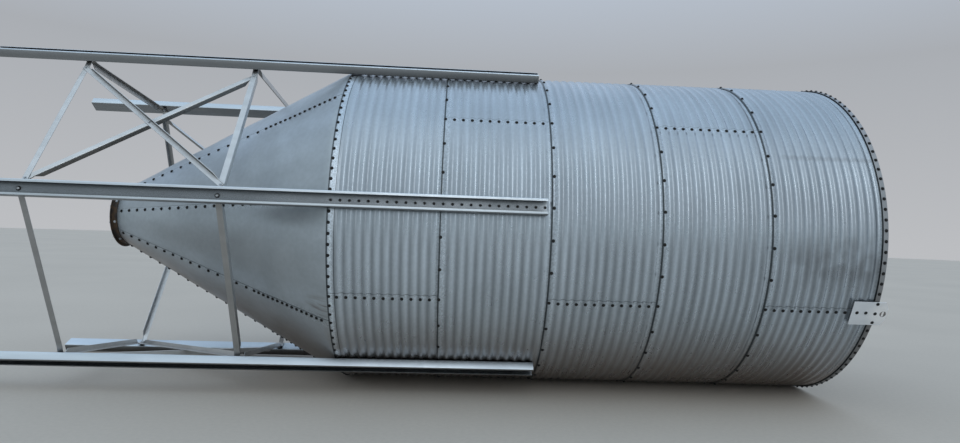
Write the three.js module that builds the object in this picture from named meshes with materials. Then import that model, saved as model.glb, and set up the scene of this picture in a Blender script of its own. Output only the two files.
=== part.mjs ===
// Hopper-bottomed grain silo of corrugated sheets, lying on its side, with its roof missing.
// Units are millimetres. +X runs along the silo's axis from its feet to its open eave, and +Z is up.
// Stations are distances along the axis from the joint between the hopper and the first ring.
// Angles turn round the axis: 0 is the level line on the -Y side, and 90 is the top as it lies.

import * as THREE from 'three';

// Driving dimensions
const GAP = 0.3;
const FACET_STEP = 4;
const LEAST_FACET = 1;
const SHELL_RADIUS = 1364.4;
const WALL_DEPTH = 13;
const RING_HEIGHT = 812.8;
const RING_COUNT = 5;
const SHEETS_PER_RING = 3;
const TOP_MARGIN = 26;

const LEG_COUNT = 6;
const LEG_SPACING = 360 / LEG_COUNT;
const FIRST_LEG_ANGLE = 6;
const LEG_FOOT_STATION = -2916;
const LEG_TOP_STATION = 1567;
const LEG_SPLAY = 30;
const LEG_WEB = 118;
const LEG_FLANGE = 70;
const LEG_LIP = 20;
const LEG_PLATE = 4;

const HOPPER_PANELS = 9;
const HOPPER_RIM = 25;
const HOPPER_END_STATION = -2054;
const HOPPER_PLATE = 6;
const OUTLET_RADIUS = 258;
const COLLAR_WALL = 12;
const COLLAR_LENGTH = 50;
const COLLAR_FLANGE_RADIUS = 288;
const COLLAR_FLANGE_PLATE = 8;

const BRACE_STATIONS = { lower: -2137, upper: -775 };
const NODE_LAG = [0, 28, 48, 60, 40, 0];
const BRACE_LEAF = 45;
const BRACE_PLATE = 4;
const BRACE_END_OFFSET = 3;
const DIAGONAL_LEAF = 40;
const DIAGONAL_REACH = 115;
const DIAGONAL_LAP = 15;
const BRACED_BAYS = [1, 3, 5];

const EAVE_BAND = 40;
const EAVE_CLEARANCE = 0.4;
const EAVE_PLATE = 4;
const EAVE_FLANGE = 40;

const LUG_LENGTH = 268;
const LUG_WIDTH = 195;
const LUG_CORNER = 28;
const LUG_END_WIDTH = 90;
const LUG_PLATE = 6;
const LUG_REACH = 71;
const LUG_SLOT_STATION = 30;
const LUG_SLOT = { length: 46, width: 22 };

// Sizes that follow from them
const SHELL_END = RING_COUNT * RING_HEIGHT + TOP_MARGIN;
const EAVE_END = SHELL_END + GAP + EAVE_PLATE;
const FACET_RADIUS = SHELL_RADIUS * Math.cos(radians(FACET_STEP / 2));
const LEG_SEAT = FACET_RADIUS + GAP;
const EAVE_INNER_RADIUS = SHELL_RADIUS + EAVE_CLEARANCE;
const EAVE_OUTER_RADIUS = EAVE_INNER_RADIUS + EAVE_PLATE;
const AXIS_HEIGHT = EAVE_OUTER_RADIUS * Math.cos(radians(FACET_STEP / 2));
const MIDDLE_STATION = (LEG_FOOT_STATION + EAVE_END + LUG_REACH) / 2;

function radians(degrees) {
  return degrees * Math.PI / 180;
}

const steel = {
  sheet: new THREE.MeshStandardMaterial({ color: 0x8f9ba6, roughness: 0.45, metalness: 0.7 }),
  hopper: new THREE.MeshStandardMaterial({ color: 0x83898e, roughness: 0.5, metalness: 0.65 }),
  frame: new THREE.MeshStandardMaterial({ color: 0xa3b0bb, roughness: 0.42, metalness: 0.7 }),
  collar: new THREE.MeshStandardMaterial({ color: 0x4b4642, roughness: 0.7, metalness: 0.4 }),
};

// Unit vectors at an angle round the axis: straight out from it, and along the turn
const outward = (angle) => new THREE.Vector3(0, -Math.cos(radians(angle)), Math.sin(radians(angle)));
const along = (angle) => new THREE.Vector3(0, Math.sin(radians(angle)), Math.cos(radians(angle)));
const AXIS = new THREE.Vector3(1, 0, 0);

function pointAt(station, radius, angle) {
  return outward(angle).multiplyScalar(radius).setX(station);
}

// A closed body from its corners and triangles, with its faces turned outward
function closedBody(corners, triangles) {
  let volume = 0;
  for (const [a, b, c] of triangles) {
    volume += corners[a].dot(new THREE.Vector3().crossVectors(corners[b], corners[c]));
  }
  const turned = volume < 0 ? triangles.map(([a, b, c]) => [a, c, b]) : triangles;
  const geometry = new THREE.BufferGeometry();
  const positions = corners.flatMap((corner) => corner.toArray());
  geometry.setAttribute('position', new THREE.Float32BufferAttribute(positions, 3));
  geometry.setIndex(turned.flat());
  geometry.computeVertexNormals();
  return geometry;
}

const flatOutline = (points) => points.map(([x, y]) => new THREE.Vector2(x, y));

// The skin of a body made of equal outlines in a row, closed to a ring or capped at both ends
function outlineSkin(rows, outline, isRing = false) {
  const isClockwise = THREE.ShapeUtils.isClockWise(outline);
  const flat = isClockwise ? [...outline].reverse() : outline;
  const outlines = isClockwise ? rows.map((row) => [...row].reverse()) : rows;
  const count = flat.length;
  const triangles = [];
  for (let row = 0; row < outlines.length - (isRing ? 0 : 1); row += 1) {
    const here = row * count;
    const next = ((row + 1) % outlines.length) * count;
    for (let i = 0; i < count; i += 1) {
      const j = (i + 1) % count;
      triangles.push([here + i, here + j, next + j], [here + i, next + j, next + i]);
    }
  }
  if (!isRing) {
    const last = (outlines.length - 1) * count;
    for (const [a, b, c] of THREE.ShapeUtils.triangulateShape(flat, [])) {
      const isTurned = THREE.ShapeUtils.area([flat[a], flat[b], flat[c]]) < 0;
      const [p, q] = isTurned ? [c, b] : [b, c];
      triangles.push([a, q, p], [a + last, p + last, q + last]);
    }
  }
  return closedBody(outlines.flat(), triangles);
}

// A plate swept round the axis; its profile is a list of [station, radius]
function sweptPlate(profile, angles, isRing = false) {
  const outlines = angles.map((angle) => (
    profile.map(([station, radius]) => pointAt(station, radius, angle))));
  return outlineSkin(outlines, flatOutline(profile), isRing);
}

// Facet corners from one angle to another, with the shell's own corners between them
function facetAngles(start, end) {
  const first = Math.ceil((start + LEAST_FACET) / FACET_STEP) * FACET_STEP;
  const angles = [start];
  for (let angle = first; angle < end - LEAST_FACET; angle += FACET_STEP) {
    angles.push(angle);
  }
  return [...angles, end];
}

function fullTurn() {
  return Array.from({ length: 360 / FACET_STEP }, (_, i) => i * FACET_STEP);
}

const silo = new THREE.Group();
silo.position.set(-MIDDLE_STATION, 0, AXIS_HEIGHT);

function addPiece(name, geometry, material) {
  const mesh = new THREE.Mesh(geometry, material);
  mesh.name = name;
  silo.add(mesh);
}

// Wall: five rings of three curved sheets, with the seams of one ring half a sheet from the next
const seamInset = THREE.MathUtils.radToDeg(GAP / 2 / SHELL_RADIUS);
const sheetAngle = 360 / SHEETS_PER_RING;
for (let ring = 1; ring <= RING_COUNT; ring += 1) {
  const start = (ring - 1) * RING_HEIGHT + GAP / 2;
  const end = ring === RING_COUNT ? SHELL_END : ring * RING_HEIGHT - GAP / 2;
  const innerRadius = SHELL_RADIUS - WALL_DEPTH;
  const profile = [[start, innerRadius], [end, innerRadius], [end, SHELL_RADIUS], [start, SHELL_RADIUS]];
  const seamTurn = ring % 2 === 1 ? -LEG_SPACING / 2 : LEG_SPACING / 2;
  for (let sheet = 0; sheet < SHEETS_PER_RING; sheet += 1) {
    const from = FIRST_LEG_ANGLE + seamTurn + sheet * sheetAngle;
    const angles = facetAngles(from + seamInset, from + sheetAngle - seamInset);
    addPiece(`ring_${ring}_sheet_${'abc'[sheet]}`, sweptPlate(profile, angles), steel.sheet);
  }
}

// Hopper: nine rolled panels from a short bolting rim down to the outlet
const hopperSlope = (FACET_RADIUS - OUTLET_RADIUS) / (-HOPPER_RIM - HOPPER_END_STATION);
const hopperDepth = HOPPER_PLATE * Math.hypot(1, hopperSlope);
const innerBend = HOPPER_RIM - (hopperDepth - HOPPER_PLATE) / hopperSlope;
const hopperProfile = [
  [-GAP / 2, FACET_RADIUS],
  [-HOPPER_RIM, FACET_RADIUS],
  [HOPPER_END_STATION, OUTLET_RADIUS],
  [HOPPER_END_STATION, OUTLET_RADIUS - hopperDepth],
  [-innerBend, FACET_RADIUS - HOPPER_PLATE],
  [-GAP / 2, FACET_RADIUS - HOPPER_PLATE],
];
const outletInset = THREE.MathUtils.radToDeg(GAP / 2 / OUTLET_RADIUS);
const panelAngle = 360 / HOPPER_PANELS;
for (let panel = 0; panel < HOPPER_PANELS; panel += 1) {
  const from = FIRST_LEG_ANGLE + panel * panelAngle;
  const angles = facetAngles(from + outletInset, from + panelAngle - outletInset);
  addPiece(`hopper_panel_${panel + 1}`, sweptPlate(hopperProfile, angles), steel.hopper);
}

// Outlet: a short neck with a bolting flange
const collarStart = HOPPER_END_STATION - GAP;
const collarEnd = HOPPER_END_STATION - COLLAR_LENGTH;
const neckInner = OUTLET_RADIUS - COLLAR_WALL / 2;
const neckOuter = OUTLET_RADIUS + COLLAR_WALL / 2;
const collarProfile = [
  [collarStart, neckInner],
  [collarStart, neckOuter],
  [collarEnd + COLLAR_FLANGE_PLATE, neckOuter],
  [collarEnd + COLLAR_FLANGE_PLATE, COLLAR_FLANGE_RADIUS],
  [collarEnd, COLLAR_FLANGE_RADIUS],
  [collarEnd, neckInner],
];
addPiece('outlet_collar', sweptPlate(collarProfile, fullTurn(), true), steel.collar);

// Eave: a rolled angle round the open end, its band outside the wall and its flange over the edge
const eaveProfile = [
  [EAVE_END - EAVE_BAND, EAVE_INNER_RADIUS],
  [EAVE_END - EAVE_BAND, EAVE_OUTER_RADIUS],
  [EAVE_END, EAVE_OUTER_RADIUS],
  [EAVE_END, EAVE_OUTER_RADIUS - EAVE_FLANGE],
  [EAVE_END - EAVE_PLATE, EAVE_OUTER_RADIUS - EAVE_FLANGE],
  [EAVE_END - EAVE_PLATE, EAVE_INNER_RADIUS],
];
addPiece('eave_ring', sweptPlate(eaveProfile, fullTurn(), true), steel.frame);

// Legs: lipped channels with their webs on the wall's crests and their open sides out
// Their top ends lie on the wall, and they splay out a little towards their feet
const legHalf = LEG_WEB / 2;
const legSection = [
  [-legHalf, 0],
  [legHalf, 0],
  [legHalf, LEG_FLANGE],
  [legHalf - LEG_LIP, LEG_FLANGE],
  [legHalf - LEG_LIP, LEG_FLANGE - LEG_PLATE],
  [legHalf - LEG_PLATE, LEG_FLANGE - LEG_PLATE],
  [legHalf - LEG_PLATE, LEG_PLATE],
  [-legHalf + LEG_PLATE, LEG_PLATE],
  [-legHalf + LEG_PLATE, LEG_FLANGE - LEG_PLATE],
  [-legHalf + LEG_LIP, LEG_FLANGE - LEG_PLATE],
  [-legHalf + LEG_LIP, LEG_FLANGE],
  [-legHalf, LEG_FLANGE],
];
const halfBay = radians(LEG_SPACING / 2);
const legAngle = (leg) => FIRST_LEG_ANGLE + (leg - 1) * LEG_SPACING;
const legFlare = LEG_SPLAY / (LEG_TOP_STATION - LEG_FOOT_STATION);
const legSeat = (station) => LEG_SEAT + legFlare * (LEG_TOP_STATION - station);
for (let leg = 1; leg <= LEG_COUNT; leg += 1) {
  const out = outward(legAngle(leg));
  const across = along(legAngle(leg));
  const outlines = [LEG_FOOT_STATION, LEG_TOP_STATION].map((station) => {
    const seat = pointAt(station, legSeat(station), legAngle(leg));
    return legSection.map(([side, rise]) => (
      seat.clone().addScaledVector(across, side).addScaledVector(out, rise)));
  });
  addPiece(`leg_${leg}`, outlineSkin(outlines, flatOutline(legSection)), steel.frame);
}

// Bracing: angle bars between neighbouring legs, on the inner faces of their webs
// A section's first number is its place across the bar, and its second is how far out it stands
const strutSection = (side, leaf) => [
  [side * leaf / 2, 0],
  [-side * leaf / 2, 0],
  [-side * leaf / 2, -BRACE_PLATE],
  [side * (leaf / 2 - BRACE_PLATE), -BRACE_PLATE],
  [side * (leaf / 2 - BRACE_PLATE), -leaf],
  [side * leaf / 2, -leaf],
];
const diagonalSection = (turn) => (
  strutSection(1, DIAGONAL_LEAF).map(([place, rise]) => [place, turn * (rise - GAP / 2)]));

// The face that all bars of the bay after a leg lie on
const bayNormal = (leg) => (
  outward(legAngle(leg) + LEG_SPACING / 2).addScaledVector(AXIS, legFlare * Math.cos(halfBay)).normalize());

// Where bars meet the inner face of a leg's web, on the side towards the next leg or the last
function webPoint(leg, station, side) {
  const point = pointAt(station, legSeat(station) - GAP, legAngle(leg));
  return point.addScaledVector(along(legAngle(leg)), side * BRACE_END_OFFSET);
}

// Planes that a bar stays behind: the web's inner face, and the middle of the leg
function legLimits(leg, side) {
  const web = outward(legAngle(leg)).addScaledVector(AXIS, legFlare);
  return [
    { facing: web, limit: legSeat(0) - GAP },
    { facing: along(legAngle(leg)).multiplyScalar(-side), limit: -BRACE_END_OFFSET },
  ];
}

// A plane beside a strut, at a distance from its middle line, for the bars that end there
function strutLimit(leg, level, distance) {
  const start = webPoint(leg, nodeStation(leg, level), 1);
  const end = webPoint(leg + 1, nodeStation(leg + 1, level), -1);
  const up = new THREE.Vector3().crossVectors(end.sub(start), bayNormal(leg)).normalize();
  if (up.x < 0) up.negate();
  const side = level === 'upper' ? 1 : -1;
  return { facing: up.clone().multiplyScalar(side), limit: side * up.dot(start) + distance };
}

// A bar along a line, with the end of each of its edges where the first of the planes cuts it
function clippedBar(leg, startStation, endStation, section, limits) {
  const start = webPoint(leg, startStation, 1);
  const end = webPoint(leg + 1, endStation, -1);
  const direction = end.clone().sub(start).normalize();
  const out = bayNormal(leg);
  const across = new THREE.Vector3().crossVectors(direction, out).normalize();
  if (across.x < 0) across.negate();
  const edges = section.map(([place, rise]) => {
    const corner = start.clone().addScaledVector(across, place).addScaledVector(out, rise);
    const cuts = limits.map(({ facing, limit }) => ({
      isFar: facing.dot(direction) > 0,
      travel: (limit - facing.dot(corner)) / facing.dot(direction),
    }));
    const from = Math.max(...cuts.filter(({ isFar }) => !isFar).map(({ travel }) => travel));
    const to = Math.min(...cuts.filter(({ isFar }) => isFar).map(({ travel }) => travel));
    return [from, to].map((travel) => corner.clone().addScaledVector(direction, travel));
  });
  const outlines = [0, 1].map((which) => edges.map((edge) => edge[which]));
  return outlineSkin(outlines, flatOutline(section));
}

function nodeStation(leg, level) {
  return BRACE_STATIONS[level] - NODE_LAG[(leg - 1) % LEG_COUNT];
}

for (let leg = 1; leg <= LEG_COUNT; leg += 1) {
  const bay = `${leg}_${leg % LEG_COUNT + 1}`;
  const [lower, nextLower] = [leg, leg + 1].map((each) => nodeStation(each, 'lower'));
  const [upper, nextUpper] = [leg, leg + 1].map((each) => nodeStation(each, 'upper'));
  const ends = [...legLimits(leg, 1), ...legLimits(leg + 1, -1)];
  const lowerStrut = clippedBar(leg, lower, nextLower, strutSection(-1, BRACE_LEAF), ends);
  const upperStrut = clippedBar(leg, upper, nextUpper, strutSection(1, BRACE_LEAF), ends);
  addPiece(`lower_strut_${bay}`, lowerStrut, steel.frame);
  addPiece(`upper_strut_${bay}`, upperStrut, steel.frame);
  if (!BRACED_BAYS.includes(leg)) continue;
  const between = ['lower', 'upper'].map((level) => strutLimit(leg, level, -BRACE_LEAF / 2 - GAP));
  const over = ['lower', 'upper'].map((level) => strutLimit(leg, level, DIAGONAL_LAP));
  const rising = clippedBar(leg, lower - DIAGONAL_REACH, nextUpper + DIAGONAL_REACH,
    diagonalSection(1), [...ends, ...between]);
  const falling = clippedBar(leg, upper + DIAGONAL_REACH, nextLower - DIAGONAL_REACH,
    diagonalSection(-1), [...ends, ...over]);
  addPiece(`diagonal_${bay}_rising`, rising, steel.frame);
  addPiece(`diagonal_${bay}_falling`, falling, steel.frame);
}

// Lifting lug: a plate over the eave band at a seam of the last ring, with a slot past the edge
const lugAngle = FIRST_LEG_ANGLE - LEG_SPACING / 2;
const lugEnd = EAVE_END + LUG_REACH;
const lugShape = new THREE.Shape([
  new THREE.Vector2(lugEnd - LUG_LENGTH, -LUG_WIDTH / 2),
  new THREE.Vector2(lugEnd - LUG_CORNER, -LUG_WIDTH / 2),
  new THREE.Vector2(lugEnd, -LUG_END_WIDTH / 2),
  new THREE.Vector2(lugEnd, LUG_END_WIDTH / 2),
  new THREE.Vector2(lugEnd - LUG_CORNER, LUG_WIDTH / 2),
  new THREE.Vector2(lugEnd - LUG_LENGTH, LUG_WIDTH / 2),
]);
const slotCentre = lugEnd - LUG_SLOT_STATION;
const slotStraight = (LUG_SLOT.length - LUG_SLOT.width) / 2;
const slot = new THREE.Path();
slot.absarc(slotCentre, slotStraight, LUG_SLOT.width / 2, 0, Math.PI, false);
slot.absarc(slotCentre, -slotStraight, LUG_SLOT.width / 2, Math.PI, 2 * Math.PI, false);
slot.closePath();
lugShape.holes.push(slot);
const lugForm = { depth: LUG_PLATE, bevelEnabled: false, curveSegments: 6 };
const lugGeometry = new THREE.ExtrudeGeometry(lugShape, lugForm);
const lugFrame = new THREE.Matrix4().makeBasis(AXIS, along(lugAngle), outward(lugAngle));
lugFrame.setPosition(outward(lugAngle).multiplyScalar(EAVE_OUTER_RADIUS + GAP));
lugGeometry.applyMatrix4(lugFrame);
addPiece('lifting_lug', lugGeometry, steel.frame);

export default silo;
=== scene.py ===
"""Hopper-bottomed grain silo on its side: corrugated wall, bolted hopper and braced channel legs.

Lengths are in metres. Stations run along the silo's axis from the joint of hopper and wall, towards
the open eave. Angles turn round the axis: 0 is level on the -Y side, and 90 is the top as it lies.
"""
import math

import bmesh
import bpy
import numpy as np
from mathutils import Matrix, Vector


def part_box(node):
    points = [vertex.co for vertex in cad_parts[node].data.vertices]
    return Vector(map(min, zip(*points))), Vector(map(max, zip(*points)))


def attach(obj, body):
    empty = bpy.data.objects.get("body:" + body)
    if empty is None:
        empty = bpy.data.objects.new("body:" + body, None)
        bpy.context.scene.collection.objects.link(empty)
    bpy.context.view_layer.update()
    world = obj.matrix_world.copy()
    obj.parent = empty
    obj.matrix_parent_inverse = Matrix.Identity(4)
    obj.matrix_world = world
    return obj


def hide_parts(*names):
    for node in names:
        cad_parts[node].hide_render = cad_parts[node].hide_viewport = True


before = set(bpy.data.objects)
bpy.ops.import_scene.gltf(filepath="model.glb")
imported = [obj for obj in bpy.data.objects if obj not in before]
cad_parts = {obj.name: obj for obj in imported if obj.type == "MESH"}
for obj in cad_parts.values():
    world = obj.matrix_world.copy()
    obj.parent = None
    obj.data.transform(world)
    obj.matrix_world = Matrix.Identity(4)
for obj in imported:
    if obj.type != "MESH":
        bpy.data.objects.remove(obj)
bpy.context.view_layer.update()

# Driving dimensions
SHELL_RADIUS = 1.3644
RING_HEIGHT = 0.8128
RING_COUNT = 5
SHEETS_PER_RING = 3
WAVES_PER_RING = 12
WAVE_DEPTH = 0.0127
WAVE_STEPS = 10
CREST_RADIUS = 1.3628
JOINT_BOLT_OFFSET = -0.005
SHEET_THICKNESS = 0.0015
SHEET_COLUMNS = 42
RING_LAPS_LEFT = (0.011, 0.020, 0.017, 0.019)
RING_LAP_RIGHT = 0.020
RING_LAP_RISE = 0.002
SEAM_LAP = 0.028
SEAM_LAP_RISE = 0.0009
FLAT_BAND_START = -0.009
FLAT_BAND_END = 0.047
WALL_END = 4.0895

LEG_COUNT = 6
LEG_SPACING = 60
FIRST_LEG_ANGLE = 6
LEG_FOOT = -2.916
LEG_TOP = 1.567
LEG_SEAT = 1.363869
LEG_SPLAY = 0.030
LEG_WEB = 0.118
LEG_FLANGE = 0.070
LEG_LIP = 0.020
LEG_PLATE = 0.004
LEG_BEND = 0.005
LEG_FLARE = LEG_SPLAY / (LEG_TOP - LEG_FOOT)

HOPPER_PANELS = 9
HOPPER_RIM = 0.025
HOPPER_RIM_RADIUS = 1.3615
HOPPER_END = -2.054
HOPPER_LAP = 0.022
HOPPER_LAP_RISE = 0.0011
HOPPER_THICKNESS = 0.0018
HOPPER_FOLD = 0.012
HOPPER_OUTSET = 0.001
OUTLET_RADIUS = 0.258
CONE_SLOPE = (HOPPER_RIM_RADIUS - OUTLET_RADIUS) / (-HOPPER_RIM - HOPPER_END)
COLLAR_LENGTH = 0.050
COLLAR_HALF_WALL = 0.006
COLLAR_FLANGE_RADIUS = 0.288
COLLAR_FLANGE_PLATE = 0.008
COLLAR_BEVEL = 0.001
COLLAR_FILLET = 0.004

BRACE_STATIONS = {'lower': -2.137, 'upper': -0.775}
NODE_LAG = [0, 0.028, 0.048, 0.060, 0.040, 0]
STRUT_LEAF = 0.045
DIAGONAL_LEAF = 0.040
BRACE_PLATE = 0.004
BRACE_BEND = 0.0035
BRACE_CLEARANCE = 0.0004
RISING_CLEARANCE = 0.0006
FLAT_LEAF = 0.0085
TAB_OVERLAP = 0.022
TAB_BEND = 0.016
FLATTENED_END = 0.075
FULL_SECTION = 0.115
DIAGONAL_REACH = 0.115
DIAGONAL_PAST_STRUT = 0.016
DIAGONAL_STOPS = (0.036, 0.056, 0.100)
BRACED_BAYS = (1, 3, 5)

EAVE_END = 4.0943
EAVE_BAND = 0.040
EAVE_INNER_RADIUS = 1.3648
EAVE_OUTER_RADIUS = 1.3688
EAVE_FLANGE = 0.040
EAVE_BEND = 0.005

LUG_ANGLE = -24
LUG_SEAT = EAVE_OUTER_RADIUS + 0.0003
LUG_LENGTH = 0.268
LUG_WIDTH = 0.195
LUG_CORNER = 0.028
LUG_END_WIDTH = 0.090
LUG_PLATE = 0.006
LUG_REACH = 0.071
LUG_BEVEL = 0.0008
LUG_LEAN = 0.06
LUG_SLOT_INSET = 0.030
LUG_SLOT_RADIUS = 0.011
LUG_SLOT_HALF = 0.012
LUG_BEND_BEFORE_EAVE = 0.004

JOINT_BOLTS = 36
EDGE_BOLTS = 108
HOPPER_BOLT_STATION = 0.006
SEAM_BOLT_SHARE = 0.99
SEAM_BOLT_SHIFT = -0.2
SPARSE_BOLT_SPAN = (HOPPER_END + 0.05, -0.67)
SPARSE_BOLT_STEP = 0.1035
DENSE_BOLT_SPAN = (-0.657, -0.045)
DENSE_BOLT_STEP = 0.048
LEG_WEB_BOLTS = 24
FIRST_LEG_BOLT = 0.018
LAST_LEG_BOLT = 1.553
NODE_NUT_DEPTH = 0.0092
LUG_BOLTS = ((3.938, -23.8), (4.006, -23.8), (4.078, -24.0), (4.076, -20.6), (4.078, -27.2))
FLANGE_BOLTS = 12
FLANGE_BOLT_RADIUS = 0.277
FIRST_FLANGE_BOLT = 15
FIRST_NECK_BOLT = 26
NECK_BOLT_STATION = HOPPER_END - 0.02

PITCH = RING_HEIGHT / WAVES_PER_RING
ZERO_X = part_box('leg_1')[0].x - LEG_FOOT
AXIS_Z = sum(corner.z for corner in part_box('eave_ring')) / 2
AXIS = Vector((1, 0, 0))


# Places on the silo
def outward(angle):
    """The way from the axis to the wall at an angle."""
    turn = math.radians(angle)
    return Vector((0, -math.cos(turn), math.sin(turn)))


def around(angle):
    """The way along the wall at an angle, towards larger angles."""
    turn = math.radians(angle)
    return Vector((0, math.sin(turn), math.cos(turn)))


def place(station, radius, angle):
    return Vector((ZERO_X + station, 0, AXIS_Z)) + outward(angle) * float(radius)


# Mesh building
def curved_sheet(stations, angles, radii, thickness):
    """Points, faces and sheet places of a thin closed sheet; the arrays have a row for each station."""
    turns = np.radians(angles)
    grids = [np.stack([stations + ZERO_X, -r * np.cos(turns), AXIS_Z + r * np.sin(turns)], axis=-1)
             for r in (radii, radii - thickness)]
    rows, columns = radii.shape
    outer = np.arange(rows * columns).reshape(rows, columns)
    quads = np.stack([outer[:-1, :-1], outer[1:, :-1], outer[1:, 1:], outer[:-1, 1:]], axis=-1)
    quads = quads.reshape(-1, 4)
    rim = np.concatenate([outer[0], outer[1:, -1], outer[-1, -2::-1], outer[-2:0:-1, 0]])
    inner_rim = rim + rows * columns
    edges = np.stack([rim, np.roll(rim, -1), np.roll(inner_rim, -1), inner_rim], axis=-1)
    faces = np.concatenate([quads, quads[:, ::-1] + rows * columns, edges])
    across, down = np.meshgrid(np.linspace(0, 1, columns), np.linspace(0, 1, rows))
    spots = np.stack([across, down], axis=-1).reshape(-1, 2)
    return np.concatenate([grid.reshape(-1, 3) for grid in grids]), faces, np.concatenate([spots, spots])


def swept(outlines, is_ring=False):
    """Points and faces of a bar through equal outlines, capped at both ends or closed to a ring."""
    count = len(outlines[0])
    points = [point for outline in outlines for point in outline]
    faces = []
    for row in range(len(outlines) if is_ring else len(outlines) - 1):
        here, ahead = row * count, (row + 1) % len(outlines) * count
        for i in range(count):
            j = (i + 1) % count
            faces.append((here + i, here + j, ahead + j, ahead + i))
    if not is_ring:
        faces.append(tuple(range(count)))
        faces.append(tuple(len(points) - 1 - i for i in range(count)))
    return points, faces


def bent_strip(corners, thickness, bend, steps=4):
    """Outline of a folded plate whose middle line runs through the corners, with rounded bends."""
    corners = [Vector(corner) for corner in corners]
    middle = [corners[0]]
    for before, corner, after in zip(corners, corners[1:], corners[2:]):
        back, ahead = (before - corner).normalized(), (after - corner).normalized()
        half = back.angle(ahead) / 2
        centre = corner + (back + ahead).normalized() * bend / math.sin(half)
        start = (corner + back * bend / math.tan(half) - centre).normalized()
        end = (corner + ahead * bend / math.tan(half) - centre).normalized()
        middle += [centre + start.slerp(end, i / steps) * bend for i in range(steps + 1)]
    middle.append(corners[-1])
    sides = []
    for i, point in enumerate(middle):
        run = (middle[min(i + 1, len(middle) - 1)] - middle[max(i - 1, 0)]).normalized()
        sides.append(Vector((-run.y, run.x)) * thickness / 2)
    return [p + s for p, s in zip(middle, sides)] + [p - s for p, s in reversed(list(zip(middle, sides)))]


def add_piece(name, points, faces, material, slot, nodes=(), spots=None, sharp=35):
    """A piece from points and faces; the spots are its sheet places, which the materials use."""
    mesh = bpy.data.meshes.new(name)
    mesh.from_pydata([tuple(point) for point in points], [], [tuple(face) for face in faces])
    shape = bmesh.new()
    shape.from_mesh(mesh)
    bmesh.ops.recalc_face_normals(shape, faces=shape.faces)
    shape.to_mesh(mesh)
    shape.free()
    if spots is not None:
        corner_points = np.empty(len(mesh.loops), int)
        mesh.loops.foreach_get('vertex_index', corner_points)
        mesh.uv_layers.new(name='Sheet').data.foreach_set('uv', spots[corner_points].ravel())
    return finish_piece(name, mesh, material, nodes, sharp)


def finish_piece(name, mesh, material, nodes=(), sharp=35):
    mesh.shade_smooth()
    mesh.set_sharp_from_angle(angle=math.radians(sharp))
    mesh.materials.append(material)
    piece = bpy.data.objects.new(name, mesh)
    bpy.context.scene.collection.objects.link(piece)
    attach(piece, 'root')
    if nodes:
        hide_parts(*nodes)
    return piece


# Node trees
class Tree:
    """A material's or world's nodes, each added and linked in one call."""

    def __init__(self, owner):
        owner.use_nodes = True
        self.tree = owner.node_tree

    def add(self, kind, inputs=None, output=0, **settings):
        made = self.tree.nodes.new(kind)
        for key, value in settings.items():
            setattr(made, key, value)
        self.feed(made, inputs or {})
        return made.outputs[output]

    def feed(self, made, inputs):
        for key, value in inputs.items():
            if isinstance(value, bpy.types.NodeSocket):
                self.tree.links.new(value, made.inputs[key])
            else:
                made.inputs[key].default_value = value

    def math(self, operation, first, second=0.0):
        return self.add('ShaderNodeMath', {0: first, 1: second}, operation=operation)

    def fit(self, value, low, high, to_low=0.0, to_high=1.0):
        inputs = {'Value': value, 'From Min': low, 'From Max': high, 'To Min': to_low, 'To Max': to_high}
        return self.add('ShaderNodeMapRange', inputs, interpolation_type='SMOOTHSTEP')

    def blend(self, factor, first, second, way='MIX'):
        colours = {0: factor, 6: first, 7: second}
        return self.add('ShaderNodeMix', colours, 2, data_type='RGBA', blend_type=way)

    def tone(self, colour, grey):
        return self.blend(1.0, colour, grey, 'MULTIPLY')

    def vector(self, *parts):
        return self.add('ShaderNodeCombineXYZ', dict(enumerate(parts)))

    def scaled(self, vector, scale):
        return self.add('ShaderNodeVectorMath', {0: vector, 1: scale}, operation='MULTIPLY')

    def noise(self, vector, scale, detail=3.0):
        return self.add('ShaderNodeTexNoise', {'Vector': vector, 'Scale': scale, 'Detail': detail})

    def cells(self, vector, scale):
        """A random grey for each crystal of a zinc coat."""
        return self.add('ShaderNodeTexVoronoi', {'Vector': vector, 'Scale': scale}, 'Color')

    def parts(self, vector):
        return self.add('ShaderNodeSeparateXYZ', {0: vector}).node.outputs

    def bump(self, height, strength, distance):
        inputs = {'Strength': strength, 'Distance': distance, 'Height': height}
        return self.add('ShaderNodeBump', inputs)

    def surface(self, colour, metallic, roughness, bump=None):
        inputs = {'Base Color': colour, 'Metallic': metallic, 'Roughness': roughness}
        if bump is not None:
            inputs['Normal'] = bump
        self.feed(self.tree.nodes['Principled BSDF'], inputs)


def shell_places(tree):
    """A point's place in the row frame, and its place on the unrolled shell, which is also given in parts.

    The parts are the station, the hoop distance from level on the -Y side, and the share of its radius by
    which the point lies above the axis.
    """
    solid = tree.add('ShaderNodeTexCoord', output='Object')
    x, y, z = tree.parts(solid)
    station = tree.math('SUBTRACT', x, ZERO_X)
    turn = tree.math('ARCTAN2', tree.math('SUBTRACT', z, AXIS_Z), tree.math('MULTIPLY', y, -1.0))
    hoop = tree.math('MULTIPLY', turn, SHELL_RADIUS)
    return solid, tree.vector(station, hoop, 0.0), station, hoop, tree.math('SINE', turn)


def sheet_distances(tree, across_length, down_length):
    """Distances from a sheet's outer seam edge, from its left end, and from its nearest edge."""
    across, down, _ = tree.parts(tree.add('ShaderNodeUVMap', uv_map='Sheet'))
    from_inner = tree.math('MULTIPLY', across, across_length)
    from_left = tree.math('MULTIPLY', down, down_length)
    nearest = tree.math('MINIMUM', tree.math('PINGPONG', from_inner, across_length / 2),
                        tree.math('PINGPONG', from_left, down_length / 2))
    return tree.math('SUBTRACT', across_length, from_inner), from_left, nearest


def tinted(tree, colour, amounts):
    """A colour multiplied by greys; each has a value about 0.5, and the tones for its low and high end."""
    for value, low, high in amounts:
        colour = tree.tone(colour, tree.fit(value, 0.25, 0.75, low, high))
    return colour


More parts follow.
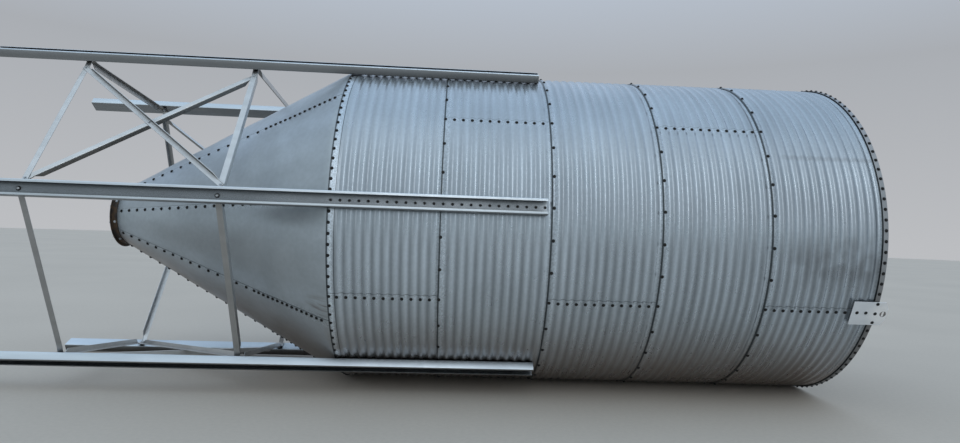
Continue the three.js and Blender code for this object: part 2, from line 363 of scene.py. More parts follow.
def spangled(tree, colour, spot, near, width):
    """Zinc crystals that show near the edges of a sheet."""
    edge = tree.fit(near, width * 0.7, width * 1.15, 1.0, 0.0)
    crystals = tree.fit(tree.cells(spot, 120.0), 0.1, 0.9, 0.86, 1.20)
    return tree.blend(edge, colour, tree.tone(colour, crystals))


def shadow_line(tree, colour, distance, width, depth):
    """Painted shadow: a dark line along an edge, where the sheet laps, bends or meets a band."""
    line = tree.fit(distance, width * 0.7, width * 1.3, depth, 0.0)
    return tree.blend(line, colour, (0.022, 0.030, 0.034, 1))


def underside_shaded(tree, colour, height, solid):
    """Painted shade: a brownish darkening on the underside, for its shade and the dark ground it reflects.
    """
    patches = tree.fit(tree.noise(solid, 3.0), 0.2, 0.8, 0.8, 1.1)
    underside_shade = tree.math('MULTIPLY', tree.fit(height, -0.95, -0.42, 0.76, 0.0), patches)
    return tree.blend(underside_shade, colour, (0.265, 0.205, 0.168, 1))


def patch(tree, spot, centre, half_size, depth):
    """A soft oval patch, given by its station and hoop distance."""
    offset = tree.add('ShaderNodeVectorMath', {0: spot, 1: (*centre, 0)}, operation='SUBTRACT')
    spread = tree.scaled(offset, (1 / half_size[0], 1 / half_size[1], 1))
    distance = tree.add('ShaderNodeVectorMath', {0: spread}, 'Value', operation='LENGTH')
    return tree.fit(distance, 0.2, 1.0, depth, 0.0)


def occlusion_shade(tree, reach, closed, clear, tone):
    """Painted shade: a darkening tone where other surfaces stand close in front."""
    openness = tree.add('ShaderNodeAmbientOcclusion', {'Distance': reach}, 'AO', samples=8)
    return tree.fit(openness, closed, clear, tone, 1.0)


def wall_material():
    material = bpy.data.materials.new('Galvanised corrugated sheet')
    tree = Tree(material)
    solid, spot, station, hoop, height = shell_places(tree)
    wave = tree.math('DIVIDE', tree.math('SUBTRACT', station, JOINT_BOLT_OFFSET), PITCH)
    from_crest = tree.math('PINGPONG', wave, 0.5)
    # Painted highlight: the valleys of the waves lighter and the crests darker, as reflected sky would make
    # them.
    painted_valley_sheen = tree.fit(from_crest, 0.0, 0.5, 0.945, 1.075)
    # Painted shade and highlight: the slopes that face the hopper darker and those that face the eave
    # lighter, strongly on the lower half.
    side = tree.math('SINE', tree.math('MULTIPLY', tree.math('SUBTRACT', wave, 0.05), 2 * math.pi))
    low = tree.fit(height, -0.18, 0.07, 0.29, 0.03)
    painted_slope_shade = tree.math('ADD', 1.0, tree.math('MULTIPLY', side, low))
    streaks = tree.noise(tree.scaled(solid, (26.0, 1.1, 1.1)), 1.0)
    # Painted shade: lighter near the hopper and darker towards the eave, standing in for light that falls
    # off along the wall.
    painted_falloff = tree.fit(station, 0.4, 3.4, 1.035, 0.965)
    clouds, grain = tree.noise(solid, 1.6), tree.noise(solid, 45.0, 4.0)
    tones = [(streaks, 0.92, 1.06), (clouds, 0.93, 1.06), (grain, 0.96, 1.04)]
    colour = tinted(tree, (0.46, 0.52, 0.58, 1), tones)
    for tone in (painted_valley_sheen, painted_slope_shade, painted_falloff):
        colour = tree.tone(colour, tone)
    # Painted shade on the underside, in a brownish tone.
    colour = underside_shaded(tree, colour, height, solid)
    # Painted reflection: dark blotches on the last ring where dark surroundings show in the metal; and a
    # faint dark mark across the ring.
    on_last_ring = tree.fit(station, 3.30, 3.42)
    blotches = tree.fit(tree.noise(tree.scaled(spot, (9.0, 5.0, 1.0)), 1.0), 0.35, 0.60)
    painted_dark_reflection = tree.math('MULTIPLY', patch(tree, spot, (3.80, -0.19), (0.75, 0.30), 0.38), blotches)
    mark = tree.fit(tree.math('ABSOLUTE', tree.math('SUBTRACT', hoop, 0.620)), 0.006, 0.030, 0.22, 0.0)
    for reflection_and_mark in (painted_dark_reflection, mark):
        colour = tree.blend(tree.math('MULTIPLY', reflection_and_mark, on_last_ring), colour, (0.10, 0.095, 0.095, 1))
    colour = tree.tone(colour, tree.fit(station, FLAT_BAND_END - 0.004, FLAT_BAND_END, 1.12, 1.0))
    outer_edge, left_end, nearest = sheet_distances(tree, 2.9, 0.85)
    colour = spangled(tree, colour, spot, nearest, 0.055)
    # Painted shadows: dark lines along the lapping ring and seam edges, where the flat band bends into the
    # waves, and under the eave band.
    colour = shadow_line(tree, colour, left_end, 0.0115, 0.85)
    colour = shadow_line(tree, colour, outer_edge, 0.0040, 0.45)
    band_edge = tree.math('ABSOLUTE', tree.math('SUBTRACT', station, FLAT_BAND_END))
    colour = shadow_line(tree, colour, band_edge, 0.0028, 0.7)
    under_band = tree.math('SUBTRACT', EAVE_END - EAVE_BAND, station)
    colour = shadow_line(tree, colour, under_band, 0.0065, 0.9)
    # Painted shade where other parts stand close in front of the wall.
    colour = tree.tone(colour, occlusion_shade(tree, 0.035, 0.25, 0.80, 0.12))
    roughness = tree.fit(tree.noise(solid, 5.0), 0.3, 0.7, 0.26, 0.32)
    roughness = tree.math('ADD', roughness, tree.fit(from_crest, 0.08, 0.22, 0.07, 0.0))
    bump = tree.bump(tree.noise(solid, 7.0, 2.0), 0.05, 0.002)
    tree.surface(colour, 0.78, roughness, bump)
    return material


def hopper_material():
    material = bpy.data.materials.new('Galvanised hopper sheet')
    tree = Tree(material)
    solid, spot, _, _, height = shell_places(tree)
    rolled = tree.noise(tree.scaled(solid, (1.0, 6.0, 6.0)), 1.0)
    clouds, grain = tree.noise(solid, 1.3), tree.noise(solid, 28.0, 4.0)
    tones = [(clouds, 0.90, 1.08), (rolled, 0.95, 1.05), (grain, 0.96, 1.04)]
    colour = tinted(tree, (0.43, 0.485, 0.53, 1), tones)
    # Painted shade on the underside, in a brownish tone.
    colour = underside_shaded(tree, colour, height, solid)
    dull_half = patch(tree, spot, (-0.9, -0.38), (1.2, 0.40), 0.34)
    colour = tree.blend(dull_half, colour, (0.16, 0.155, 0.15, 1))
    smudge = patch(tree, spot, (-0.31, 0.045), (0.40, 0.14), 0.42)
    colour = tree.blend(smudge, colour, (0.08, 0.08, 0.08, 1))
    rust = tree.fit(tree.noise(tree.scaled(spot, (3.0, 26.0, 1.0)), 1.0), 0.45, 0.65)
    rust = tree.math('MULTIPLY', rust, patch(tree, spot, (-0.07, -0.68), (0.16, 0.12), 0.6))
    colour = tree.blend(rust, colour, (0.13, 0.075, 0.045, 1))
    outer_edge, _, nearest = sheet_distances(tree, 0.62, 2.3)
    colour = spangled(tree, colour, spot, nearest, 0.05)
    # Painted shadow along the lapping seam edges.
    colour = shadow_line(tree, colour, outer_edge, 0.004, 0.6)
    roughness = tree.fit(tree.noise(solid, 6.0), 0.3, 0.7, 0.36, 0.46)
    tree.surface(colour, 0.75, roughness, tree.bump(tree.noise(solid, 4.0, 2.0), 0.2, 0.004))
    return material


def frame_material(name, base, metallic, occlusion_shade_tone, down_shade=0.65, down_shade_facing=-0.44, pale_end=0.0, rust=0.0):
    """Fresh galvanising, with painted shade inside the channels and in the corners of the bars.

    It has painted shade where it faces down, as much as at the given height of its normal. The pale
    end and the rust are those of the lifting lug, round its slot.
    """
    material = bpy.data.materials.new(name)
    tree = Tree(material)
    spot = tree.add('ShaderNodeTexCoord', output='Object')
    streaks = tree.noise(tree.scaled(spot, (1.2, 14.0, 14.0)), 1.0)
    colour = tinted(tree, base, [(streaks, 0.93, 1.05), (tree.noise(spot, 3.0), 0.95, 1.04)])
    # Painted shade inside the channels and where the bars stand close to other parts.
    colour = tree.tone(colour, occlusion_shade(tree, 0.12, 0.32, 1.0, occlusion_shade_tone))
    # Painted shade where the surface faces down.
    facing = tree.parts(tree.add('ShaderNodeNewGeometry', output='Normal'))[2]
    colour = tree.blend(tree.fit(facing, down_shade_facing, -0.05, down_shade, 0.0), colour, (0.13, 0.12, 0.112, 1))
    from_slot = tree.add('ShaderNodeVectorMath', {0: spot, 1: SLOT_CENTRE}, 'Value', operation='DISTANCE')
    colour = tree.blend(tree.fit(from_slot, 0.04, 0.15, pale_end, 0.0), colour, (1, 1, 1, 1))
    colour = tree.blend(tree.fit(from_slot, 0.020, 0.027, rust, 0.0), colour, (0.055, 0.032, 0.022, 1))
    tree.surface(colour, metallic, tree.fit(tree.noise(spot, 12.0), 0.3, 0.7, 0.36, 0.44))
    return material


def patchy_material(name, base, second, metallic, roughness):
    """Weathered metal: two tones in patches, on a rough skin."""
    material = bpy.data.materials.new(name)
    tree = Tree(material)
    spot = tree.add('ShaderNodeTexCoord', output='Object')
    patches = tree.fit(tree.noise(spot, 22.0, 4.0), 0.42, 0.62)
    colour = tree.blend(patches, base, second)
    rough = tree.fit(patches, 0.0, 1.0, roughness, roughness + 0.15)
    tree.surface(colour, metallic, rough, tree.bump(tree.noise(spot, 90.0), 0.3, 0.001))
    return material


SLOT_CENTRE = place(EAVE_END + LUG_REACH - LUG_SLOT_INSET, EAVE_OUTER_RADIUS + LUG_PLATE, LUG_ANGLE)
wall_metal = wall_material()
hopper_metal = hopper_material()
frame_metal = frame_material('Fresh galvanised legs', (0.66, 0.73, 0.79, 1), 0.95, 0.09, 0.73)
bar_metal = frame_material('Fresh galvanised bars', (0.655, 0.67, 0.68, 1), 0.90, 0.60, 0.95, -0.75)
band_metal = frame_material('Dull galvanised band', (0.375, 0.39, 0.41, 1), 0.80, 0.20)
lug_metal = frame_material('Dull galvanised plate', (0.78, 0.82, 0.87, 1), 0.40, 0.50, 0.0,
                           pale_end=0.7, rust=0.8)
collar_metal = patchy_material('Weathered collar', (0.045, 0.038, 0.033, 1), (0.10, 0.065, 0.04, 1),
                               0.35, 0.6)
bolt_metal = patchy_material('Dark bolts', (0.006, 0.006, 0.007, 1), (0.016, 0.015, 0.014, 1), 0.1, 0.6)
stud_metal = patchy_material('Zinc bolts', (0.42, 0.45, 0.48, 1), (0.52, 0.55, 0.58, 1), 0.75, 0.3)


# Wall
def seam_angle(ring):
    return FIRST_LEG_ANGLE + (-1 if ring % 2 == 1 else 1) * LEG_SPACING / 2


def ring_span(ring):
    """First and last station of a ring's sheets, laps included."""
    joint = (ring - 1) * RING_HEIGHT + JOINT_BOLT_OFFSET
    first = FLAT_BAND_START if ring == 1 else joint - RING_LAPS_LEFT[ring - 2]
    last = WALL_END if ring == RING_COUNT else ring * RING_HEIGHT + JOINT_BOLT_OFFSET + RING_LAP_RIGHT
    return first, last


def wall_radius(ring, station, share):
    """Outer radius of a sheet at a station and a share of its turn, with the rise of its laps."""
    first, last = ring_span(ring)
    wave = WAVE_DEPTH / 2 * (1 - np.cos(2 * np.pi * (station - JOINT_BOLT_OFFSET) / PITCH))
    if ring == 1:
        wave = wave * np.clip((station - FLAT_BAND_END) / (PITCH / 4), 0, 1)
    ring_rise = RING_LAP_RISE * (1 - 2 * (station - first) / (last - first))
    seam_rise = SEAM_LAP_RISE * (2 * share - 1)
    return CREST_RADIUS - wave + ring_rise + seam_rise


def build_wall():
    seam_lap = math.degrees(SEAM_LAP / SHELL_RADIUS)
    sheet_turn = 360 / SHEETS_PER_RING
    for ring in range(1, RING_COUNT + 1):
        first, last = ring_span(ring)
        rows = round((last - first) / PITCH * WAVE_STEPS) + 1
        for sheet in range(SHEETS_PER_RING):
            start = seam_angle(ring) + sheet * sheet_turn
            share = np.linspace(0, 1, SHEET_COLUMNS)
            angles = start - seam_lap + share * (sheet_turn + 2 * seam_lap)
            stations, angles = np.meshgrid(np.linspace(first, last, rows), angles, indexing='ij')
            radii = wall_radius(ring, stations, share[None, :])
            points, faces, spots = curved_sheet(stations, angles, radii, SHEET_THICKNESS)
            node = f'ring_{ring}_sheet_{"abc"[sheet]}'
            add_piece(f'corrugated_{node}', points, faces, wall_metal, 'galvanised_sheet', [node], spots, 50)


# Hopper
def cone_radius(station):
    """Outer radius of the hopper, with a soft fold where the cone meets its rim."""
    cone = OUTLET_RADIUS + CONE_SLOPE * (station - HOPPER_END)
    return (cone + HOPPER_RIM_RADIUS - np.hypot(cone - HOPPER_RIM_RADIUS, HOPPER_FOLD)) / 2 + HOPPER_OUTSET


def dents(station, angle):
    """Shallow hollows and swellings of the flat sheet, none of them at the rim or the outlet."""
    fade = np.clip((-station - 0.05) / 0.3, 0, 1) * np.clip((station - HOPPER_END) / 0.3, 0, 1)
    turn = np.radians(angle)
    waves = np.sin(7.1 * station + 5 * turn) * np.sin(4.3 * station - 9 * turn + 1.1)
    waves = waves + 0.6 * np.sin(13.7 * station - 14 * turn + 0.7) * np.sin(11.0 * station + 19 * turn)
    return 0.0022 * fade * waves


def build_hopper():
    panel_turn = 360 / HOPPER_PANELS
    share = np.linspace(0, 1, 17)[None, :]
    near_rim = np.linspace(0, -0.09, 10)
    down_cone = np.linspace(-0.09, HOPPER_END, 44)[1:]
    stations = np.concatenate([near_rim, down_cone])[::-1, None]
    for panel in range(HOPPER_PANELS):
        start = FIRST_LEG_ANGLE + panel * panel_turn
        lap = np.degrees(HOPPER_LAP / cone_radius(stations))
        angles = start - lap + share * (panel_turn + 2 * lap)
        radii = cone_radius(stations) + HOPPER_LAP_RISE * (2 * share - 1) + dents(stations, angles)
        rows = np.broadcast_to(stations, radii.shape)
        points, faces, spots = curved_sheet(rows, angles, radii, HOPPER_THICKNESS)
        node = f'hopper_panel_{panel + 1}'
        add_piece(f'rolled_{node}', points, faces, hopper_metal, 'hopper_sheet', [node], spots, 50)


# Rings
def lathe(profile, count):
    """Points and faces of a ring whose profile is a list of stations and radii."""
    return swept([[place(station, radius, 360 * i / count) for station, radius in profile]
                  for i in range(count)], is_ring=True)


def build_rings():
    band_start = EAVE_END - EAVE_BAND
    plate = EAVE_OUTER_RADIUS - EAVE_INNER_RADIUS
    middle = EAVE_OUTER_RADIUS - plate / 2
    eave = bent_strip([(band_start, middle), (EAVE_END - plate / 2, middle),
                       (EAVE_END - plate / 2, EAVE_OUTER_RADIUS - EAVE_FLANGE)], plate, EAVE_BEND)
    add_piece('rolled_eave_angle', *lathe(eave, 216), band_metal, 'galvanised_frame', ['eave_ring'])
    start, end = HOPPER_END - 0.0003, HOPPER_END - COLLAR_LENGTH
    inner, outer = OUTLET_RADIUS - COLLAR_HALF_WALL, OUTLET_RADIUS + COLLAR_HALF_WALL
    plate, edge = end + COLLAR_FLANGE_PLATE, COLLAR_FLANGE_RADIUS
    neck = [(start, inner), (start, outer), (plate + COLLAR_FILLET, outer), (plate, outer + COLLAR_FILLET),
            (plate, edge - COLLAR_BEVEL), (plate - COLLAR_BEVEL, edge), (end + COLLAR_BEVEL, edge),
            (end, edge - COLLAR_BEVEL), (end, inner)]
    collar = lathe(neck, 96)
    add_piece('outlet_neck_and_flange', *collar, collar_metal, 'weathered_collar', ['outlet_collar'])


# Legs
def leg_angle(leg):
    return FIRST_LEG_ANGLE + (leg - 1) * LEG_SPACING


def leg_seat(station):
    return LEG_SEAT + LEG_FLARE * (LEG_TOP - station)


def build_legs():
    side, near, far = LEG_WEB / 2 - LEG_PLATE / 2, LEG_PLATE / 2, LEG_FLANGE - LEG_PLATE / 2
    lip = LEG_WEB / 2 - LEG_LIP
    section = bent_strip([(-lip, far), (-side, far), (-side, near), (side, near), (side, far), (lip, far)],
                         LEG_PLATE, LEG_BEND)
    for leg in range(1, LEG_COUNT + 1):
        angle = leg_angle(leg)
        outlines = [[place(station, leg_seat(station) + rise, angle) + across * around(angle)
                     for across, rise in section] for station in (LEG_FOOT, LEG_TOP)]
        name = f'lipped_channel_leg_{leg}'
        add_piece(name, *swept(outlines), frame_metal, 'galvanised_frame', [f'leg_{leg}'])


# Bracing
def node_station(leg, level):
    """Where the struts of a level are bolted to a leg."""
    return BRACE_STATIONS[level] - NODE_LAG[(leg - 1) % LEG_COUNT]


def web_point(leg, station):
    """A point on the inner face of a leg's web, on its middle line."""
    return place(station, leg_seat(station), leg_angle(leg))


def bay_normal(leg):
    tilt = LEG_FLARE * math.cos(math.radians(LEG_SPACING / 2))
    return (outward(leg_angle(leg) + LEG_SPACING / 2) + tilt * AXIS).normalized()


def angle_section(side, leaf, height, sense=1):
    """Outline of an angle bar: a plate across, and a leaf of some height at one of its edges."""
    edge = side * (leaf / 2 - BRACE_PLATE / 2)
    face = -BRACE_PLATE / 2
    outline = bent_strip([(edge, -height), (edge, face), (-side * leaf / 2, face)], BRACE_PLATE, BRACE_BEND)
    return [(across, sense * rise) for across, rise in outline]


def bar_outlines(stops):
    """Outlines of a bar from its stops: each an origin, its two directions and a section."""
    return [[origin + across * side + rise * out for side, rise in section]
            for origin, across, out, section in stops]


def upward_across(direction, out):
    """The way across a bar that points towards the eave."""
    across = direction.cross(out).normalized()
    return across if across.x > 0 else -across


def strut(leg, level):
    """An angle bar between two legs, whose flattened ends bend on to the inner faces of their webs."""
    side = -1 if level == 'lower' else 1
    start, end = web_point(leg, node_station(leg, level)), web_point(leg + 1, node_station(leg + 1, level))
    direction, out = (end - start).normalized(), bay_normal(leg)
    across = upward_across(direction, out)
    flat = angle_section(side, STRUT_LEAF, FLAT_LEAF)
    full = angle_section(side, STRUT_LEAF, STRUT_LEAF)
    stops = []
    second_layer = BRACE_PLATE + 2 * BRACE_CLEARANCE
    for which, centre, way, depth in ((leg, start, 1, BRACE_CLEARANCE), (leg + 1, end, -1, second_layer)):
        angle = leg_angle(which)
        on_web = centre - depth * outward(angle)
        bend_out = (outward(angle) + out).normalized()
        run = [(on_web - way * TAB_OVERLAP * around(angle), across, outward(angle), flat),
               (on_web + way * TAB_BEND * around(angle), across, bend_out, flat),
               (centre + way * FLATTENED_END * direction, across, out, flat),
               (centre + way * FULL_SECTION * direction, across, out, full)]
        stops += run if way == 1 else run[::-1]
    return bar_outlines(stops), start, across


def diagonal(leg, is_rising, struts):
    """An angle bar across a bay, with flattened ends bolted to its struts; the falling one is in front."""
    from_level, to_level = ('lower', 'upper') if is_rising else ('upper', 'lower')
    reach = DIAGONAL_REACH if is_rising else -DIAGONAL_REACH
    start = web_point(leg, node_station(leg, from_level) - reach)
    end = web_point(leg + 1, node_station(leg + 1, to_level) + reach)
    direction, out = (end - start).normalized(), bay_normal(leg)
    across = upward_across(direction, out)
    sense = 1 if is_rising else -1
    flat = angle_section(1, DIAGONAL_LEAF, FLAT_LEAF, sense)
    full = angle_section(1, DIAGONAL_LEAF, DIAGONAL_LEAF, sense)
    near, far = sorted((point - start).dot(up) / direction.dot(up) for point, up in struts)
    at_strut = -(BRACE_PLATE + RISING_CLEARANCE) * out if is_rising else BRACE_CLEARANCE * out
    between = -BRACE_CLEARANCE * out if is_rising else BRACE_CLEARANCE * out
    steps = [(-DIAGONAL_PAST_STRUT, at_strut, flat)]
    steps += zip(DIAGONAL_STOPS, (at_strut, between, between), (flat, flat, full))
    stops = []
    for at, way in ((near, 1), (far, -1)):
        run = [(start + (at + way * past) * direction + shift, across, out, section)
               for past, shift, section in steps]
        stops += run if way == 1 else run[::-1]
    bolts = [(start + at * direction + (0 if is_rising else BRACE_PLATE) * out, out) for at in (near, far)]
    return bar_outlines(stops), bolts, (start, direction)


def build_bracing():
    """All struts and diagonals; gives the places of the small bolts on them."""
    bolts = []
    for leg in range(1, LEG_COUNT + 1):
        bay = f'{leg}_{leg % LEG_COUNT + 1}'
        lines = []
        for level in ('lower', 'upper'):
            outlines, point, up = strut(leg, level)
            lines.append((point, up))
            node = f'{level}_strut_{bay}'
            add_piece(f'angle_bar_{node}', *swept(outlines), bar_metal, 'galvanised_frame', [node])
        if leg not in BRACED_BAYS:
            continue
        paths = []
        for is_rising in (True, False):
            outlines, ends, path = diagonal(leg, is_rising, lines)
            bolts += ends
            paths.append(path)
            node = f'diagonal_{bay}_{"rising" if is_rising else "falling"}'
            add_piece(f'angle_bar_{node}', *swept(outlines), bar_metal, 'galvanised_frame', [node])
        (start, direction), (other, other_way) = paths
        normal = bay_normal(leg)
        edge = normal.cross(other_way)
        crossing = start + direction * (other - start).dot(edge) / direction.dot(edge)
        bolts.append((crossing + (BRACE_PLATE + BRACE_CLEARANCE) * normal, normal))
    return bolts


# Lifting lug
def build_lug():
    end = EAVE_END + LUG_REACH
    half, end_half, corner = LUG_WIDTH / 2, LUG_END_WIDTH / 2, LUG_CORNER
    tip = LUG_LENGTH - corner
    plate = [(0, -half), (tip, -half), (LUG_LENGTH, -end_half),
             (LUG_LENGTH, end_half), (tip, half), (0, half)]
    slot = []
    for turn in (math.radians(15 + 30 * i) for i in range(12)):
        across = math.copysign(LUG_SLOT_HALF, math.sin(turn)) + LUG_SLOT_RADIUS * math.sin(turn)
        slot.append((LUG_LENGTH - LUG_SLOT_INSET + LUG_SLOT_RADIUS * math.cos(turn), across))
    curve = bpy.data.curves.new('lug_outline', 'CURVE')
    curve.dimensions = '2D'
    curve.fill_mode = 'BOTH'
    curve.extrude = LUG_PLATE / 2 - LUG_BEVEL
    curve.bevel_depth = LUG_BEVEL
    for points in (plate, slot):
        spline = curve.splines.new('POLY')
        spline.points.add(len(points) - 1)
        for point, (x, y) in zip(spline.points, points):
            point.co = (x, y, 0, 1)
        spline.use_cyclic_u = True
    template = bpy.data.objects.new('lug_outline', curve)
    mesh = bpy.data.meshes.new_from_object(template)
    bpy.data.objects.remove(template)
    shape = bmesh.new()
    shape.from_mesh(mesh)
    bmesh.ops.remove_doubles(shape, verts=shape.verts, dist=0.00001)
    bend = LUG_LENGTH - LUG_REACH - LUG_BEND_BEFORE_EAVE
    bmesh.ops.bisect_plane(shape, geom=shape.verts[:] + shape.edges[:] + shape.faces[:],
                           plane_co=(bend, 0, 0), plane_no=(1, 0, 0))
    for vertex in shape.verts:
        vertex.co.z += LUG_PLATE / 2 + LUG_LEAN * max(0, vertex.co.x - bend)
    shape.to_mesh(mesh)
    shape.free()
    base = place(end - LUG_LENGTH, LUG_SEAT, LUG_ANGLE)
    axes = Matrix((AXIS, around(LUG_ANGLE), outward(LUG_ANGLE))).transposed().to_4x4()
    mesh.transform(Matrix.Translation(base) @ axes)
    finish_piece('slotted_lifting_lug', mesh, lug_metal, ['lifting_lug'], 30)


# Bolts, each of solids with a count of sides and a profile of radii and heights
HEX_BOLT = [(12, [(0.0125, -0.001), (0.0125, 0.0018), (0.0115, 0.0026)]),
            (6, [(0.0082, 0.0022), (0.0082, 0.0075), (0.0070, 0.0085)])]
WASHER = [(14, [(0.0165, -0.001), (0.0165, 0.0020), (0.0150, 0.0026)])]
ROUND_HEAD = [(14, [(0.0118, 0.0020), (0.0112, 0.0060), (0.0085, 0.0092), (0.0040, 0.0104)])]
HEAD_HEIGHT = 0.0085
TURN_PER_BOLT = 0.65


def bolt_set(name, kind, places, material, slot, scale=1.0):
    """One piece from many bolts; each place is a point and the way that its head faces.

    Bolts that the floor would cover are left out.
    """
    points, faces = [], []
    for number, (spot, facing) in enumerate(places):
        if spot.z + facing.z * HEAD_HEIGHT < 0:
            continue
        own_turn = Matrix.Rotation(TURN_PER_BOLT * number, 3, 'Z').to_quaternion()
        turned = facing.to_track_quat('Z', 'Y') @ own_turn
        for count, profile in kind:
            base = len(points)
            for radius, rise in profile:
                for i in range(count):
                    turn = 2 * math.pi * i / count
                    local = Vector((radius * math.cos(turn), radius * math.sin(turn), rise)) * scale
                    points.append(spot + turned @ local)
            for row in range(len(profile) - 1):
                here, ahead = base + row * count, base + (row + 1) * count
                for i in range(count):
                    j = (i + 1) % count
                    faces.append((here + i, here + j, ahead + j, ahead + i))
            faces.append(tuple(base + i for i in reversed(range(count))))
            faces.append(tuple(base + (len(profile) - 1) * count + i for i in range(count)))
    return add_piece(name, points, faces, material, slot)


def ring_of_bolts(station, radius, count, skips_legs=False):
    """Bolts round the wall, without those that the bolts through the legs replace."""
    numbers = [i for i in range(count) if not (skips_legs and i % (count // LEG_COUNT) == 0)]
    angles = [FIRST_LEG_ANGLE + 360 * i / count for i in numbers]
    return [(place(station, radius, angle), outward(angle)) for angle in angles]


def build_wall_bolts():
    for ring in range(1, RING_COUNT):
        station = ring * RING_HEIGHT + JOINT_BOLT_OFFSET
        places = ring_of_bolts(station, wall_radius(ring + 1, station, 0.5), JOINT_BOLTS, ring == 1)
        bolt_set(f'joint_bolts_{ring}', HEX_BOLT, places, bolt_metal, 'weathered_collar')
    places = ring_of_bolts(HOPPER_BOLT_STATION, wall_radius(1, HOPPER_BOLT_STATION, 0.5), EDGE_BOLTS, True)
    bolt_set('hopper_joint_bolts', HEX_BOLT, places, bolt_metal, 'weathered_collar')
    places = ring_of_bolts(EAVE_END - EAVE_BAND / 2, EAVE_OUTER_RADIUS, EDGE_BOLTS)
    bolt_set('eave_bolts', HEX_BOLT, places, bolt_metal, 'weathered_collar')
    for ring in range(1, RING_COUNT + 1):
        places = []
        for sheet in range(SHEETS_PER_RING):
            angle = seam_angle(ring) + sheet * 360 / SHEETS_PER_RING + SEAM_BOLT_SHIFT
            for wave in range(1, WAVES_PER_RING):
                station = (ring - 1) * RING_HEIGHT + JOINT_BOLT_OFFSET + wave * PITCH
                radius = wall_radius(ring, station, SEAM_BOLT_SHARE)
                places.append((place(station, radius, angle), outward(angle)))
        bolt_set(f'seam_bolts_{ring}', HEX_BOLT, places, bolt_metal, 'weathered_collar')


def build_hopper_bolts():
    """Bolts down the seams of the hopper, closer together near the wall."""
    along_cone = math.hypot(1, CONE_SLOPE)
    sparse = np.arange(*SPARSE_BOLT_SPAN, SPARSE_BOLT_STEP / along_cone)
    dense = np.arange(*DENSE_BOLT_SPAN, DENSE_BOLT_STEP / along_cone)
    places = []
    for panel in range(HOPPER_PANELS):
        angle = FIRST_LEG_ANGLE + panel * 360 / HOPPER_PANELS
        facing = (outward(angle) - CONE_SLOPE * AXIS).normalized()
        for station in (*sparse, *dense):
            radius = cone_radius(station) + HOPPER_LAP_RISE + dents(station, angle)
            places.append((place(station, radius, angle), facing))
    bolt_set('hopper_seam_bolts', HEX_BOLT, places, bolt_metal, 'weathered_collar', 1.1)


def build_frame_bolts(brace_bolts):
    """Bolts through the webs of the legs, with nuts inside at the struts, and those of the bracing."""
    for leg in range(1, LEG_COUNT + 1):
        angle = leg_angle(leg)
        stations = np.linspace(FIRST_LEG_BOLT, LAST_LEG_BOLT, LEG_WEB_BOLTS)
        places = [(place(s, leg_seat(s) + LEG_PLATE, angle), outward(angle)) for s in stations]
        bolt_set(f'leg_bolts_{leg}', HEX_BOLT, places, bolt_metal, 'weathered_collar', 0.8)
    places, inner = [], []
    for leg in range(1, LEG_COUNT + 1):
        for level in ('lower', 'upper'):
            station = node_station(leg, level)
            angle = leg_angle(leg)
            places.append((place(station, leg_seat(station) + LEG_PLATE, angle), outward(angle)))
            inner.append((place(station, leg_seat(station) - NODE_NUT_DEPTH, angle), -outward(angle)))
    bolt_set('node_washers', WASHER, places, bolt_metal, 'weathered_collar')
    bolt_set('node_bolts', ROUND_HEAD, places, stud_metal, 'galvanised_frame')
    bolt_set('node_nuts', HEX_BOLT, inner, stud_metal, 'galvanised_frame')
    bolt_set('brace_bolts', HEX_BOLT, brace_bolts, stud_metal, 'galvanised_frame', 0.9)


def build_fitting_bolts():
    """Bolts of the lifting lug, of the outlet flange and of the outlet neck."""
    places = []
    for station, angle in LUG_BOLTS:
        radius = (LUG_SEAT + LUG_PLATE) / math.cos(math.radians(angle - LUG_ANGLE))
        places.append((place(station, radius, angle), outward(LUG_ANGLE)))
    bolt_set('lug_bolts', HEX_BOLT, places, bolt_metal, 'weathered_collar')
    places = []
    for number in range(FLANGE_BOLTS):
        angle = FIRST_FLANGE_BOLT + 360 * number / FLANGE_BOLTS
        places.append((place(HOPPER_END - COLLAR_LENGTH, FLANGE_BOLT_RADIUS, angle), -AXIS))
    for panel in range(HOPPER_PANELS):
        angle = FIRST_NECK_BOLT + panel * 360 / HOPPER_PANELS
        places.append((place(NECK_BOLT_STATION, OUTLET_RADIUS + COLLAR_HALF_WALL, angle), outward(angle)))
    bolt_set('collar_bolts', HEX_BOLT, places, stud_metal, 'galvanised_frame', 0.9)


# Studio
SKY_BEHIND_CAMERA = ((0.0, (0.47, 0.55, 0.57)), (0.2, (0.47, 0.51, 0.55)), (0.5, (0.50, 0.58, 0.63)),
                     (0.8, (0.80, 0.90, 0.98)), (1.0, (0.58, 0.73, 0.88)))
SKY_BEHIND_SILO = ((0.0, (0.50, 0.51, 0.53)), (0.25, (0.40, 0.42, 0.45)), (0.6, (0.60, 0.73, 0.91)),
                   (1.0, (0.58, 0.73, 0.88)))
SOFT_STRIP = ((0.0, (0.20, 0.20, 0.20)), (0.2, (0.55, 0.55, 0.56)), (0.45, (1.0, 1.0, 1.0)),
              (0.66, (0.75, 0.75, 0.75)), (0.85, (0.0, 0.0, 0.0)))
STRIP_LEVEL = 2.2
STRIP_HALF_WIDTH = 0.11
FLOOR_SIDES = 96
FLOOR_RADIUS = 90
FLOOR_LEVEL = -0.0005
CAMERA_LENS = 23.55
CAMERA_PLACE = (0.30095, -5.8688, 1.31007)
CAMERA_TURN = -0.0357
CAMERA_PITCH = 0.0189
CAMERA_ROLL = 0.0344


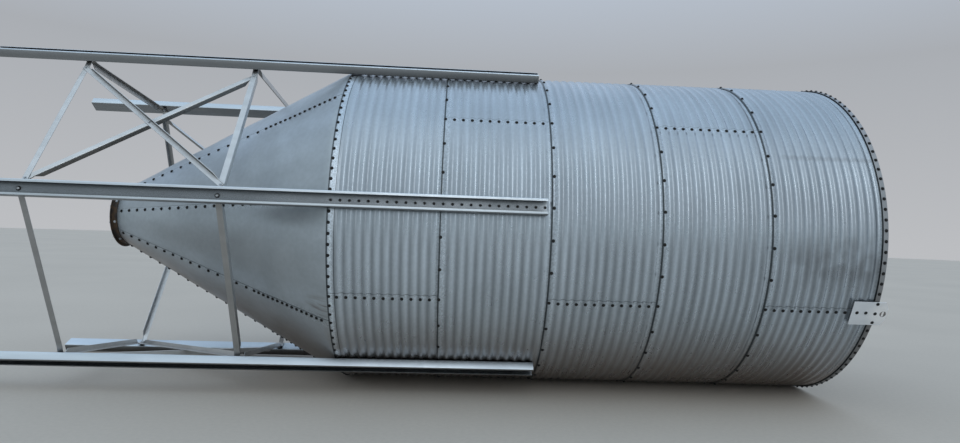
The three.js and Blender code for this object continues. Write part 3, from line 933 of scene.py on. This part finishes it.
def build_floor():
    mesh = bpy.data.meshes.new('studio_floor')
    turns = [2 * math.pi * i / FLOOR_SIDES for i in range(FLOOR_SIDES)]
    rim = [(FLOOR_RADIUS * math.cos(turn), FLOOR_RADIUS * math.sin(turn), FLOOR_LEVEL) for turn in turns]
    mesh.from_pydata(rim, [], [tuple(range(FLOOR_SIDES))])
    material = bpy.data.materials.new('Pale floor')
    tree = Tree(material)
    spot = tree.add('ShaderNodeTexCoord', output='Object')
    clouds, grain = tree.noise(spot, 0.35), tree.noise(spot, 30.0)
    colour = tinted(tree, (0.58, 0.533, 0.477, 1), [(clouds, 0.96, 1.03), (grain, 0.97, 1.02)])
    tree.surface(colour, 0.0, 0.85)
    mesh.materials.append(material)
    floor = bpy.data.objects.new('studio_floor', mesh)
    bpy.context.scene.collection.objects.link(floor)


def sky_ramp(tree, height, levels):
    """Colours of the sky, at heights from 0 at the horizon to 1 overhead."""
    node = tree.tree.nodes.new('ShaderNodeValToRGB')
    stops = node.color_ramp.elements
    while len(stops) < len(levels):
        stops.new(0.5)
    for stop, (level, colour) in zip(stops, levels):
        stop.position = level
        stop.color = (*colour, 1)
    tree.feed(node, {0: height})
    return node.outputs[0]


def build_light():
    """A plain soft sky, with one tall soft strip of light behind the camera that the camera doesn't see."""
    world = bpy.data.worlds.new('Soft studio sky')
    bpy.context.scene.world = world
    tree = Tree(world)
    x, y, z = tree.parts(tree.add('ShaderNodeTexCoord', output='Generated'))
    near_side, far_side = sky_ramp(tree, z, SKY_BEHIND_CAMERA), sky_ramp(tree, z, SKY_BEHIND_SILO)
    sky = tree.blend(tree.fit(y, -0.25, 0.25), near_side, far_side)
    across = tree.math('ABSOLUTE', x)
    strip = tree.fit(across, STRIP_HALF_WIDTH * 0.6, STRIP_HALF_WIDTH * 1.4, STRIP_LEVEL, 0.0)
    strip = tree.math('MULTIPLY', strip, tree.fit(y, -0.1, 0.0, 1.0, 0.0))
    unseen = tree.math('SUBTRACT', 1.0, tree.add('ShaderNodeLightPath', output='Is Camera Ray'))
    strip = tree.math('MULTIPLY', strip, unseen)
    sky = tree.blend(1.0, sky, tree.tone(sky_ramp(tree, z, SOFT_STRIP), strip), 'ADD')
    tree.feed(tree.tree.nodes['Background'], {'Color': sky, 'Strength': 1.0})


def build_camera():
    data = bpy.data.cameras.new('camera')
    data.sensor_width = 36
    data.sensor_fit = 'HORIZONTAL'
    data.lens = CAMERA_LENS
    data.clip_end = 300
    camera = bpy.data.objects.new('camera', data)
    turn = Matrix.Rotation(CAMERA_TURN, 4, 'Z') @ Matrix.Rotation(math.pi / 2 + CAMERA_PITCH, 4, 'X')
    camera.matrix_world = Matrix.Translation(CAMERA_PLACE) @ turn @ Matrix.Rotation(CAMERA_ROLL, 4, 'Z')
    bpy.context.scene.collection.objects.link(camera)
    bpy.context.scene.camera = camera


build_camera()
build_wall()
build_hopper()
build_rings()
build_legs()
small_bolts = build_bracing()
build_wall_bolts()
build_hopper_bolts()
build_frame_bolts(small_bolts)
build_fitting_bolts()
build_lug()
build_floor()
build_light()
bpy.context.scene.view_settings.view_transform = 'Standard'
